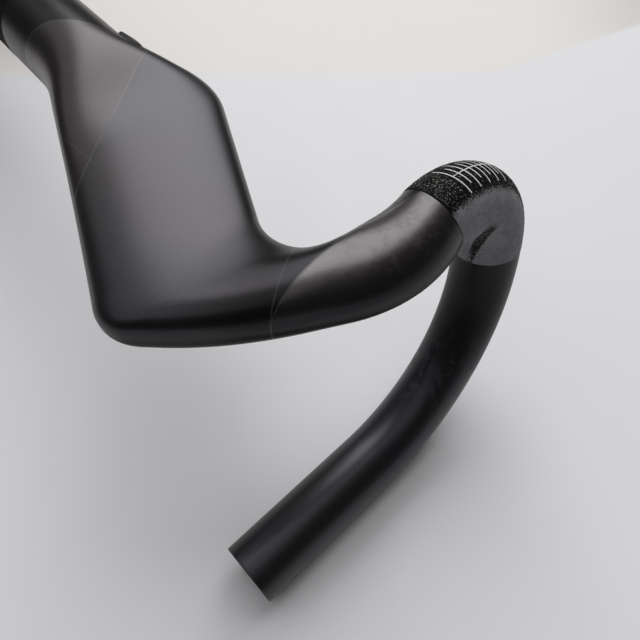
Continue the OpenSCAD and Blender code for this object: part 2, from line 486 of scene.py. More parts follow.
def skin_rings(work: bmesh.types.BMesh, rings: Points) -> list[list[bmesh.types.BMVert]]:
    """Adds sections and the faces between them to a mesh in work.

    Args:
        work: The mesh in work, in metres.
        rings: Sections by points by coordinates, in millimetres.

    Returns:
        The corners of each section.
    """
    grid = [[work.verts.new(point * MM) for point in ring] for ring in rings]
    for a, b in zip(grid, grid[1:]):
        for k in range(len(a)):
            n = (k + 1) % len(a)
            work.faces.new((a[k], a[n], b[n], b[k]))
    return grid


def cap_rings(work: bmesh.types.BMesh, rings: Points) -> None:
    """Adds sections, the faces between them and a cap at each end."""
    grid = skin_rings(work, rings)
    work.faces.new(grid[0][::-1])
    work.faces.new(grid[-1])


def finished_mesh(name: str, work: bmesh.types.BMesh) -> bpy.types.Mesh:
    """Writes a mesh in work to a new mesh and frees it.

    Args:
        name: The mesh's name.
        work: The mesh in work.

    Returns:
        The new mesh.
    """
    mesh = bpy.data.meshes.new(name)
    work.to_mesh(mesh)
    work.free()
    return mesh


def rod_mesh(name: str, rings: Points) -> bpy.types.Mesh:
    """Skins a sequence of sections and caps both ends."""
    work = bmesh.new()
    cap_rings(work, rings)
    return finished_mesh(name, work)


def new_object(name: str, mesh: bpy.types.Mesh) -> bpy.types.Object:
    """Links a mesh into the scene as an object with outward normals and smooth faces.

    Args:
        name: The object's name.
        mesh: Its mesh.

    Returns:
        The new object.
    """
    work = bmesh.new()
    work.from_mesh(mesh)
    bmesh.ops.recalc_face_normals(work, faces=work.faces)
    work.to_mesh(mesh)
    work.free()
    mesh.shade_smooth()
    obj = bpy.data.objects.new(name, mesh)
    bpy.context.scene.collection.objects.link(obj)
    return obj


def on_side(obj: bpy.types.Object, side: Side) -> bpy.types.Object:
    """Mirrors an object that was built on the right about X = 0, if its side is the left.

    Args:
        obj: The object.
        side: The side it is for.

    Returns:
        The same object.
    """
    if side is Side.LEFT:
        obj.data.transform(Matrix.Diagonal((-1, 1, 1, 1)))
        obj.data.flip_normals()
    return obj


def move_to(mesh: bpy.types.Mesh, place: Matrix) -> None:
    """Moves a mesh from its own frame to a place that is given in millimetres."""
    mesh.transform(Matrix.Scale(MM, 4) @ place @ Matrix.Scale(1 / MM, 4))


def crease(mesh: bpy.types.Mesh) -> None:
    """Shades a mesh smooth, with its steep edges kept sharp."""
    mesh.shade_smooth()
    mesh.set_sharp_from_angle(angle=math.radians(CREASE))


def apply_modifiers(obj: bpy.types.Object) -> None:
    """Bakes an object's modifiers into its mesh.

    Args:
        obj: The object.
    """
    graph = bpy.context.evaluated_depsgraph_get()
    graph.update()
    mesh = bpy.data.meshes.new_from_object(obj.evaluated_get(graph))
    obj.modifiers.clear()
    obj.data = mesh


def subtract(obj: bpy.types.Object, cutters: list[bpy.types.Object]) -> None:
    """Cuts each cutter out of an object and removes the cutters.

    Args:
        obj: The object to cut.
        cutters: The solids to take out of it.
    """
    for cutter in cutters:
        cut = obj.modifiers.new("cut", "BOOLEAN")
        cut.operation = "DIFFERENCE"
        cut.solver = "EXACT"
        cut.object = cutter
    apply_modifiers(obj)
    for cutter in cutters:
        bpy.data.objects.remove(cutter)


def ride_as(obj: bpy.types.Object, finish: bpy.types.Material, slot: str, *nodes: str) -> None:
    """Dresses a piece, puts it on the bar's body, hides the solids that it stands for and logs its slot.

    Args:
        obj: The piece.
        finish: Its material.
        slot: Its material slot in the part.
        nodes: The solids that it stands for.
    """
    obj.data.materials.append(finish)
    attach(obj, BODY)
    if nodes:
        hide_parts(*nodes)
    log.info("%s: %d faces, %s", obj.name, len(obj.data.polygons), slot)


@dataclass
class BarShell:
    """The hollow moulded bar, skinned from end to end, with its port seats and hose entries cut.

    Sizes are in millimetres, and a cut is its lowest and highest point in its own frame.
    """

    top: TopForm = field(default_factory=TopForm)
    port: PortForm = field(default_factory=PortForm)
    sides: int = 96
    bore_sides: int = 48
    clamp_steps: int = 24
    top_steps: int = 150
    drop_steps: int = 150
    bore_share: float = 0.4
    end_round: float = 0.35
    lip_steps: int = 5
    lip: float = 0.3
    lip_room: float = 0.25
    proud: float = 0.10
    clamp_arc: float = 160.0
    top_arc: float = 120.0
    skin_depth: float = 1.2
    cut_points: int = 56
    seat_cut: Pair = (0.0, 6.0)
    neck_cut: Pair = (-8.0, 2.0)
    entry_cut: Pair = (0.0, 24.0)

    def turn_parts(self, sides: int) -> tuple[Points, Points]:
        """Finds how each point of a drop section leans out of the drop's plane and into its bends.

        Args:
            sides: Points round a section.

        Returns:
            Both leans of each point, from -1 to 1.
        """
        drop = self.top.drop
        _, _, seat_out, seat_up = drop.seat()
        _, seat_heading = drop.middle(drop.length)
        angle = 2 * np.pi * np.arange(sides) / sides
        radial = -np.cos(angle)[:, None] * seat_out + np.sin(angle)[:, None] * seat_up
        return radial @ drop.axes[2], radial @ drop.normal(seat_heading)

    def drop_rings(self, spots: Points, inset: float, sides: int) -> Points:
        """Builds round sections down the hook, the drop and the bar end.

        Args:
            spots: Lengths from the bar end, the seat's first.
            inset: How far each section is shrunk.
            sides: Points round each section.

        Returns:
            An array of sections, whose first point lies where the top's sections have theirs.
        """
        drop = self.top.drop
        plane = drop.axes[2]
        across, within = self.turn_parts(sides)
        sections = []
        for s in spots:
            point, heading = drop.middle(s)
            proud = ease((s - drop.coat_low) / self.lip + 0.5) - ease((s - drop.length) / self.lip + 1)
            radius = drop.tube_r + self.proud * float(proud) - inset
            sections.append(
                point + radius * (across[:, None] * plane + within[:, None] * drop.normal(heading)))
        return np.array(sections)

    def half_rings(self, is_bore: bool) -> tuple[Points, Points]:
        """Builds the right half's sections from the middle of the clamp to the bar end.

        Args:
            is_bore: Whether these are the sections of the hollow inside.

        Returns:
            The sections, and the length up the middle line of each. On the top and the clamp it only has to
            be past the seat's.
        """
        top, drop = self.top, self.top.drop
        share = self.bore_share if is_bore else 1.0
        sides = self.bore_sides if is_bore else self.sides
        stations = np.linspace(0, 1, int(self.top_steps * share) + 1)
        wall = top.wall(stations) if is_bore else 0 * stations
        middle = top.rings(np.array([0.0]), np.array([top.top_wall if is_bore else 0.0]), sides)[0]
        steps = np.linspace(0, 1, int(self.clamp_steps * share) + 1)[:-1]
        clamp = np.array([middle * np.array([u, 1, 1]) for u in steps])
        skin = top.rings(stations, wall + drop.coat, sides)
        over = 0.0 if is_bore else self.end_round
        spots = np.linspace(drop.length, over, int(self.drop_steps * share) + 1)[1:]
        if not is_bore:
            near = np.linspace(-0.5, 0.5, self.lip_steps) * self.lip
            edges = np.concatenate([drop.coat_low + near, drop.length - self.lip / 2 + near[:-1]])
            spots = np.array([s for s in spots if np.min(np.abs(edges - s)) > self.lip_room])
            spots = np.sort(np.concatenate([spots, edges]))[::-1]
        tube = self.drop_rings(spots, drop.tube_wall if is_bore else 0.0, sides)
        before = drop.length + self.clamp_arc - self.top_arc * stations
        arc = np.concatenate([np.full(len(clamp), before[0] + 1), before, spots])
        return np.concatenate([clamp, skin, tube]), arc

    def end_rings(self) -> Points:
        """Builds the rounded lip between the outside and the bore at the right bar end.

        Returns:
            The lip's sections, from the outside in.
        """
        drop = self.top.drop
        lip = [
            (self.end_round * (1 - math.sin(a)), self.end_round * (1 - math.cos(a)))
            for a in np.linspace(0, math.pi / 2, self.lip_steps)[1:]]
        return np.array([self.drop_rings(np.array([s]), inset, self.sides)[0] for s, inset in lip])

    def build(self) -> bpy.types.Object:
        """Builds the shell and cuts it.

        Returns:
            The shell.
        """
        (outer_half, arc), (bore_half, _) = self.half_rings(False), self.half_rings(True)
        lip = self.end_rings()
        mirror = np.array([-1, 1, 1])
        outer_half = np.concatenate([outer_half, lip])
        arc = np.concatenate([arc, np.zeros(len(lip))])
        outer = np.concatenate([outer_half[:0:-1] * mirror, outer_half])
        bore = np.concatenate([bore_half[:0:-1] * mirror, bore_half])
        shell = new_object("bar_shell_skin", self.joined_mesh(outer, bore))
        subtract(shell, self.cutters())
        self.mark_places(shell.data, outer_half, arc)
        crease(shell.data)
        return shell

    def mark_places(self, mesh: bpy.types.Mesh, rings: Points, arc: Points) -> None:
        """Stores on each vertex where it lies along and round the tube, for the finishes.

        Args:
            mesh: The cut shell.
            rings: The right half's outer sections.
            arc: The length up the middle line of each section.
        """
        points = rings.reshape(-1, 3)
        tree = KDTree(len(points))
        for i, point in enumerate(points):
            tree.insert(point, i)
        tree.balance()
        across, within = self.turn_parts(self.sides)
        names = ("arc_mm", "turn_cos", "turn_sin", "inside")
        values = {name: np.zeros(len(mesh.vertices), np.float32) for name in names}
        for vertex in mesh.vertices:
            place = vertex.co / MM
            place.x = abs(place.x)
            _, nearest, distance = tree.find(place)
            row, column = divmod(nearest, self.sides)
            found = (arc[row], -within[column], across[column], float(distance > self.skin_depth))
            for name, value in zip(names, found):
                values[name][vertex.index] = value
        for name in names:
            mesh.attributes.new(name, "FLOAT", "POINT").data.foreach_set("value", values[name])

    def joined_mesh(self, outer: Points, bore: Points) -> bpy.types.Mesh:
        """Skins the outside and the bore and joins them at both bar ends.

        Args:
            outer: The outside's sections from end to end.
            bore: The bore's sections from end to end.

        Returns:
            The new mesh.
        """
        work = bmesh.new()
        outside, inside = (skin_rings(work, rings) for rings in (outer, bore))
        ratio = self.sides // self.bore_sides
        for row in (0, -1):
            rim, hole = outside[row], inside[row]
            for k in range(len(hole)):
                n = (k + 1) % len(hole)
                span = [rim[(k * ratio + m) % len(rim)] for m in range(ratio + 1)]
                work.faces.new([*span, hole[n], hole[k]])
        return finished_mesh("bar_shell_skin", work)

    def cutters(self) -> list[bpy.types.Object]:
        """Builds the solids that cut both port seats and both hose entries.

        Returns:
            The six solids, the right side's first.
        """
        port = self.port
        gap = 2 * port.gap
        place, entry = port.place(self.top), port.entry_place(self.top)
        jobs = [
            ("seat", place, (port.port_len + gap, port.port_w + gap), self.seat_cut),
            ("neck", place, (port.neck[0] + gap, port.neck[1] + gap), self.neck_cut),
            ("entry", entry, (port.entry_len, port.entry_w), self.entry_cut)]
        solids = []
        for side in Side:
            for name, spot, size, ends in jobs:
                rings = np.array([slot_ring(*size, z, self.cut_points) for z in ends])
                cutter = new_object(f"{name}_{side.value}", rod_mesh(name, rings))
                move_to(cutter.data, spot)
                solids.append(on_side(cutter, side))
        return solids


@dataclass(frozen=True)
class CameraSetup:
    """The camera that took the picture, in millimetres in the bar's frame."""

    place: Triple = (266.51, -56.08, 118.29)
    right: Triple = (0.6531, 0.7572, -0.0105)
    back: Triple = (0.4126, -0.3442, 0.8434)
    lens: float = 31.5
    sensor: float = 36.0
    nearest: float = 0.01

    def build(self) -> bpy.types.Object:
        """Adds the camera and makes it the scene's own.

        Returns:
            The camera.
        """
        data = bpy.data.cameras.new("view")
        data.lens = self.lens
        data.sensor_width = self.sensor
        data.clip_start = self.nearest
        camera = bpy.data.objects.new("view", data)
        back = Vector(self.back).normalized()
        right = Vector(self.right)
        right = (right - right.dot(back) * back).normalized()
        camera.matrix_world = frame_matrix(right, back.cross(right), back, Vector(self.place) * MM)
        bpy.context.scene.collection.objects.link(camera)
        bpy.context.scene.camera = camera
        return camera


class Graph:
    """Adds nodes to one tree and links them."""

    def __init__(self, tree: bpy.types.NodeTree) -> None:
        """Starts on a tree."""
        self.tree = tree

    def put(self, socket: Socket, value: Value) -> None:
        """Links a socket to another one, or sets its plain value.

        Args:
            socket: The socket to feed.
            value: What to feed it.
        """
        if isinstance(value, bpy.types.NodeSocket):
            self.tree.links.new(value, socket)
        else:
            socket.default_value = value

    def node(self, kind: str, inputs: dict[str | int, Value], **settings: object) -> bpy.types.Node:
        """Adds a node.

        Args:
            kind: The node's type name.
            inputs: Values or links for its inputs, by name or number.
            settings: Plain properties of the node.

        Returns:
            The new node.
        """
        node = self.tree.nodes.new(kind)
        for key, value in settings.items():
            setattr(node, key, value)
        for key, value in inputs.items():
            self.put(node.inputs[key], value)
        return node

    def math(self, operation: str, *values: Value) -> Socket:
        """Adds a math node and returns its result."""
        return self.node("ShaderNodeMath", dict(enumerate(values)), operation=operation).outputs[0]

    def total(self, *values: Value) -> Socket:
        """Returns the sum of several values."""
        return reduce(lambda a, b: self.math("ADD", a, b), values)

    def product(self, *values: Value) -> Socket:
        """Returns the product of several values."""
        return reduce(lambda a, b: self.math("MULTIPLY", a, b), values)

    def largest(self, *values: Value) -> Socket:
        """Returns the largest of several values."""
        return reduce(lambda a, b: self.math("MAXIMUM", a, b), values)

    def less(self, value: Value, taken: Value) -> Socket:
        """Returns a value less another one."""
        return self.math("SUBTRACT", value, taken)

    def invert(self, value: Value) -> Socket:
        """Returns 1 less a value."""
        return self.math("SUBTRACT", 1.0, value)

    def vector(self, operation: str, *values: Value) -> bpy.types.Node:
        """Adds a vector math node."""
        return self.node("ShaderNodeVectorMath", dict(enumerate(values)), operation=operation)

    def dot(self, a: Value, b: Value) -> Socket:
        """Returns the dot product of two vectors."""
        return self.vector("DOT_PRODUCT", a, b).outputs["Value"]

    def point(self, *parts: Value) -> Socket:
        """Returns the vector with the given parts."""
        return self.node("ShaderNodeCombineXYZ", dict(enumerate(parts))).outputs[0]

    def place(self) -> Socket:
        """Returns the place on the object, in metres."""
        return self.node("ShaderNodeTexCoord", {}).outputs["Object"]

    def place_mm(self) -> Socket:
        """Returns the place on the object, in millimetres."""
        return self.node("ShaderNodeVectorMath", {"Vector": self.place(), "Scale": 1 / MM},
                         operation="SCALE").outputs[0]

    def attribute(self, name: str) -> Socket:
        """Returns a value stored on the mesh."""
        return self.node("ShaderNodeAttribute", {}, attribute_name=name).outputs["Fac"]

    def step(self, value: Value, low: Value, high: Value) -> Socket:
        """Returns a smooth step from 0 at low to 1 at high."""
        limits = {"Value": value, "From Min": low, "From Max": high}
        return self.node("ShaderNodeMapRange", limits, interpolation_type="SMOOTHSTEP").outputs["Result"]

    def fall(self, value: Value, low: Value, high: Value) -> Socket:
        """Returns a smooth step from 1 at low to 0 at high."""
        return self.invert(self.step(value, low, high))

    def band(self, value: Value, low: float, high: float, soft: float) -> Socket:
        """Returns 1 between two values, falling to 0 over a soft width outside them."""
        return self.product(self.step(value, low - soft, low), self.fall(value, high, high + soft))

    def between(self, factor: Value, a: Value, b: Value) -> Socket:
        """Returns a number between a and b."""
        return self.node("ShaderNodeMapRange", {"Value": factor, "To Min": a, "To Max": b}).outputs["Result"]

    def blend(self, factor: Value, a: Value, b: Value) -> Socket:
        """Mixes two colours.

        Args:
            factor: How far to go from a to b.
            a: The colour at 0.
            b: The colour at 1.

        Returns:
            The colour.
        """
        node = self.node("ShaderNodeMix", {}, data_type="RGBA")
        for name, kind, value in (("Factor", "VALUE", factor), ("A", "RGBA", a), ("B", "RGBA", b)):
            self.put(next(i for i in node.inputs if i.name == name and i.type == kind), value)
        return next(o for o in node.outputs if o.type == "RGBA")

    def noise(self, place: Value, size: float, detail: float = 2.0, distortion: float = 0.0) -> Socket:
        """Returns noise whose patches are about the given size, in the unit of the place."""
        return self.node("ShaderNodeTexNoise", {"Vector": place, "Scale": 1 / size, "Detail": detail,
                                                "Distortion": distortion}).outputs["Fac"]

    def group(self, tree: bpy.types.NodeTree, inputs: dict[str, Value]) -> Socket:
        """Places a shared node group and returns what it puts out."""
        return self.node("ShaderNodeGroup", inputs, node_tree=tree).outputs[0]


class SharedGroups:
    """Node groups for the effects that several finishes use, each placed with its own values."""

    kinds: dict[str, str] = {"Place": "NodeSocketVector"}

    def __init__(self) -> None:
        """Builds every group."""
        self.patches = self._patches()
        self.grain = self._grain()

    def _new(self, name: str, inputs: tuple[str, ...],
             output: str) -> tuple[Graph, dict[str, Socket], Socket]:
        """Starts a group.

        Args:
            name: The group's name.
            inputs: Names of its inputs.
            output: Name of the value that it puts out.

        Returns:
            Its graph, its inputs by name and the socket that its result goes into.
        """
        tree = bpy.data.node_groups.new(name, "ShaderNodeTree")
        for label in inputs:
            kind = self.kinds.get(label, "NodeSocketFloat")
            tree.interface.new_socket(name=label, in_out="INPUT", socket_type=kind)
        tree.interface.new_socket(name=output, in_out="OUTPUT", socket_type="NodeSocketFloat")
        source = tree.nodes.new("NodeGroupInput")
        sink = tree.nodes.new("NodeGroupOutput")
        return Graph(tree), {label: source.outputs[label] for label in inputs}, sink.inputs[output]

    def _noise(self, g: Graph, source: dict[str, Socket]) -> Socket:
        """Adds the noise that both groups start from."""
        return g.node("ShaderNodeTexNoise", {"Vector": source["Place"], "Scale": source["Per mm"],
                                             "Detail": source["Detail"]}).outputs["Fac"]

    def _patches(self) -> bpy.types.NodeTree:
        """Builds the patches of wear or dust, with a soft edge between two levels of noise.

        Returns:
            The group's tree.
        """
        inputs = ("Place", "Per mm", "Detail", "Extra", "Low", "High")
        g, source, result = self._new("patches", inputs, "Mask")
        level = g.total(self._noise(g, source), source["Extra"])
        g.put(result, g.step(level, source["Low"], source["High"]))
        return g.tree

    def _grain(self) -> bpy.types.NodeTree:
        """Builds the fine grain of a surface, as a height in millimetres."""
        g, source, result = self._new("grain", ("Place", "Per mm", "Detail", "Depth"), "Height")
        g.put(result, g.product(self._noise(g, source), source["Depth"]))
        return g.tree


class Finish:
    """Starts a material with a principled shader, for the finishes below."""

    name: str

    def start(self) -> tuple[bpy.types.Material, Graph, bpy.types.Node]:
        """Makes the material and returns it with its graph and shader."""
        material = bpy.data.materials.new(self.name)
        material.use_nodes = True
        return material, Graph(material.node_tree), material.node_tree.nodes["Principled BSDF"]

    def grain(self, g: Graph, groups: SharedGroups, spot: Socket, noise: Pair, depth: Value) -> Socket:
        """Places the shared grain, with the size and detail of its noise, and returns its height."""
        size, detail = noise
        return g.group(groups.grain, {"Place": spot, "Per mm": 1 / size, "Detail": detail, "Depth": depth})

    def patches(self, g: Graph, groups: SharedGroups, spot: Socket, noise: Pair, levels: Pair,
                extra: Value = 0.0) -> Socket:
        """Places the shared patches, with the size and detail of their noise, and returns their mask."""
        (size, detail), (low, high) = noise, levels
        return g.group(groups.patches, {"Place": spot, "Per mm": 1 / size, "Detail": detail, "Extra": extra,
                                        "Low": low, "High": high})

    def relief(self, g: Graph, shader: bpy.types.Node, height_mm: Socket) -> None:
        """Gives the shader a bump of a height in millimetres."""
        bump = g.node("ShaderNodeBump", {"Height": height_mm, "Distance": MM})
        g.put(shader.inputs["Normal"], bump.outputs["Normal"])


@dataclass(frozen=True)
class BarPlace:
    """Where a point of the shell lies, as sockets of its material.

    The spot is in millimetres and folded onto the right half. The arc is the length up the tube in
    millimetres, the turn is round it in degrees, and inside is 1 in the hollow.
    """

    spot: Socket
    across: Socket
    level: Socket
    arc: Socket
    turn: Socket
    inside: Socket

    @classmethod
    def read(cls, g: Graph) -> "BarPlace":
        """Adds the nodes that find the place.

        Args:
            g: The material's graph.

        Returns:
            The place.
        """
        x, y, z = g.node("ShaderNodeSeparateXYZ", {0: g.place_mm()}).outputs
        across = g.math("ABSOLUTE", x)
        turn = g.math("DEGREES", g.math("ARCTAN2", g.attribute("turn_sin"), g.attribute("turn_cos")))
        return cls(g.point(across, y, z), across, z, g.attribute("arc_mm"), turn, g.attribute("inside"))


@dataclass(frozen=True)
class PlyEdge:
    """Where a ply of the laminate ends, as a line seen from above, in millimetres and degrees."""

    point: Pair
    angle: float
    reach: float
    lift: float
    # shine sets how bright the painted highlight along the edge's line is.
    shine: float
    width: float = 0.3
    bow: float = 0.0
    fade: float = 3.0

    def trace(self, g: Graph, spot: Socket) -> tuple[Socket, Socket, Socket]:
        """Adds the edge to a material.

        Args:
            g: The material's graph.
            spot: Place on the bar in millimetres.

        Returns:
            Its thin line, which carries a painted highlight, the side that the ply lies on, and the distance
            off the line.
        """
        offset = g.vector("SUBTRACT", spot, (*self.point, 0.0)).outputs[0]
        run = g.math("ABSOLUTE", g.dot(offset, (cos_d(self.angle), sin_d(self.angle), 0.0)))
        beside = g.dot(offset, (-sin_d(self.angle), cos_d(self.angle), 0.0))
        off = g.less(beside, g.product(run, run, self.bow))
        near = g.fall(run, self.reach - self.fade, self.reach)
        line = g.fall(g.math("ABSOLUTE", off), 0.0, self.width)
        side = g.step(off, -self.width, self.width)
        return g.product(line, near), g.product(side, near), off


COLLAR_EDGE = PlyEdge((69.2, -1.1), 50.0, 46.0, 0.016, 0.30, 0.45, bow=-0.006)
DIAGONAL_EDGE = PlyEdge((112.6, -11.0), -54.0, 60.0, 0.02, 0.9)
WEDGE_EDGE = PlyEdge((194.6, -8.2), -55.2, 26.0, 0.012, 0.45, 0.35)
RAMP_EDGE = PlyEdge((197.4, -2.0), -79.0, 24.0, 0.012, 0.4, 0.35, bow=0.004)
LARGE_EDGES = (COLLAR_EDGE, DIAGONAL_EDGE, WEDGE_EDGE, RAMP_EDGE)
SMALL_EDGES = (
    PlyEdge((115.5, -24.6), 5.0, 10.5, 0.006, 0.3, 0.35),
    PlyEdge((201.2, 0.1), 44.0, 6.0, 0.006, 0.35, 0.3),
)


@dataclass(frozen=True)
class SeatZones:
    """Where a lever seat is gritty and where it is brushed, by length up the tube and turn round it."""

    low: float = DropForm.coat_low
    high: float = 214.75
    edge_soft: float = 0.2
    inboard: float = -70.0
    outboard: float = 47.0
    top_soft: float = 9.0
    ragged: float = 7.0
    ragged_noise: Pair = (0.55, 4.0)
    ragged_gain: float = 5.0
    streak_top: float = 196.0
    streak_start: float = 116.0
    streak_early: float = 4.0
    streak_end: float = 167.0
    streak_fall: float = 0.0088
    streak_half: float = 3.8
    streak_grow: float = 0.045
    streak_loose: float = 0.7
    streak_ragged: float = 0.06
    streak_soft: Pair = (-0.5, 0.8)
    streak_end_soft: float = 7.0

    def is_grit(self, s: Points, turn: Points, rng: np.random.Generator) -> Points:
        """Tells which places carry grains, with ragged edges.

        Args:
            s: Lengths up the tube.
            turn: Turns round it.
            rng: Source of the ragged edges.

        Returns:
            Whether each place is gritty.
        """
        loose = turn + rng.normal(0, self.ragged, len(s))
        top = (loose > self.inboard) & (loose < self.outboard)
        past = np.maximum(turn - self.streak_start, 0)
        off = np.abs(s - self.streak_top + self.streak_fall * past ** 2)
        off = off + rng.normal(0, self.streak_loose, len(s))
        streak = (off < self.streak_half + self.streak_grow * past) & (loose < self.streak_end)
        return top | (streak & (loose > self.streak_start - self.streak_early))

    def masks(self, g: Graph, place: BarPlace) -> tuple[Socket, Socket]:
        """Adds the zones to a material.

        Args:
            g: The material's graph.
            place: Where each point lies.

        Returns:
            The mask of the whole seat and the mask of its brushed part.
        """
        seat = g.band(place.arc, self.low, self.high, self.edge_soft)
        noise = g.less(g.noise(place.spot, *self.ragged_noise), 0.5)
        ragged = g.product(noise, self.ragged_gain * self.ragged)
        loose = g.total(place.turn, ragged)
        top = g.band(loose, self.inboard, self.outboard, self.top_soft)
        past = g.largest(g.less(place.turn, self.streak_start), 0.0)
        fall = g.product(past, past, self.streak_fall)
        off = g.math("ABSOLUTE", g.total(g.less(place.arc, self.streak_top), fall))
        off = g.total(off, g.product(ragged, self.streak_ragged))
        half = g.total(self.streak_half, g.product(past, self.streak_grow))
        inside = g.fall(g.less(off, half), *self.streak_soft)
        reach = g.band(loose, self.streak_start, self.streak_end, self.streak_end_soft)
        grit = g.largest(top, g.product(inside, reach))
        return seat, g.product(seat, g.invert(grit))


@dataclass(frozen=True)
class BrushLines:
    """Fine slanting brush lines round the tube, in patches."""

    pitch: float = 0.62
    slant: float = 0.055
    turn_share: float = 0.21
    patch: float = 2.2
    levels: Pair = (0.38, 0.62)

    def trace(self, g: Graph, place: BarPlace) -> Socket:
        """Adds the lines to a material.

        Args:
            g: The material's graph.
            place: Where each point lies.

        Returns:
            The height of the lines, from -1 to 1.
        """
        skewed = g.total(place.arc, g.product(place.turn, self.slant))
        wave = g.math("SINE", g.product(g.math("DIVIDE", skewed, self.pitch), 2 * math.pi))
        spot = g.point(place.arc, g.product(place.turn, self.turn_share))
        return g.product(wave, g.step(g.noise(spot, self.patch), *self.levels))


@dataclass(frozen=True)
class Smears:
    """A patch of finger smears round one place, in millimetres."""

    centre: Triple
    reach: float
    size: float
    detail: float = 3.0
    distortion: float = 1.2
    core: float = 0.3
    levels: Pair = (0.48, 0.66)

    def trace(self, g: Graph, spot: Socket) -> Socket:
        """Adds the patch and returns its mask."""
        far = g.vector("DISTANCE", spot, self.centre).outputs["Value"]
        smear = g.noise(spot, self.size, self.detail, self.distortion)
        return g.product(g.fall(far, self.core * self.reach, self.reach), g.step(smear, *self.levels))


@dataclass(frozen=True)
class ShellMasks:
    """The regions of the shell, as sockets of its material."""

    brushed: Socket
    gritty: Socket
    coated: Socket
    drop: Socket
    on_ramp: Socket
    # dull also carries painted shade: the reflection dimmed under the top and on the upper drop.
    dull: Socket
    warmth: Socket
    line: Socket
    lift: Socket
    smears: Socket
    scuffs: Socket
    speckle: Socket
    hatch: Socket


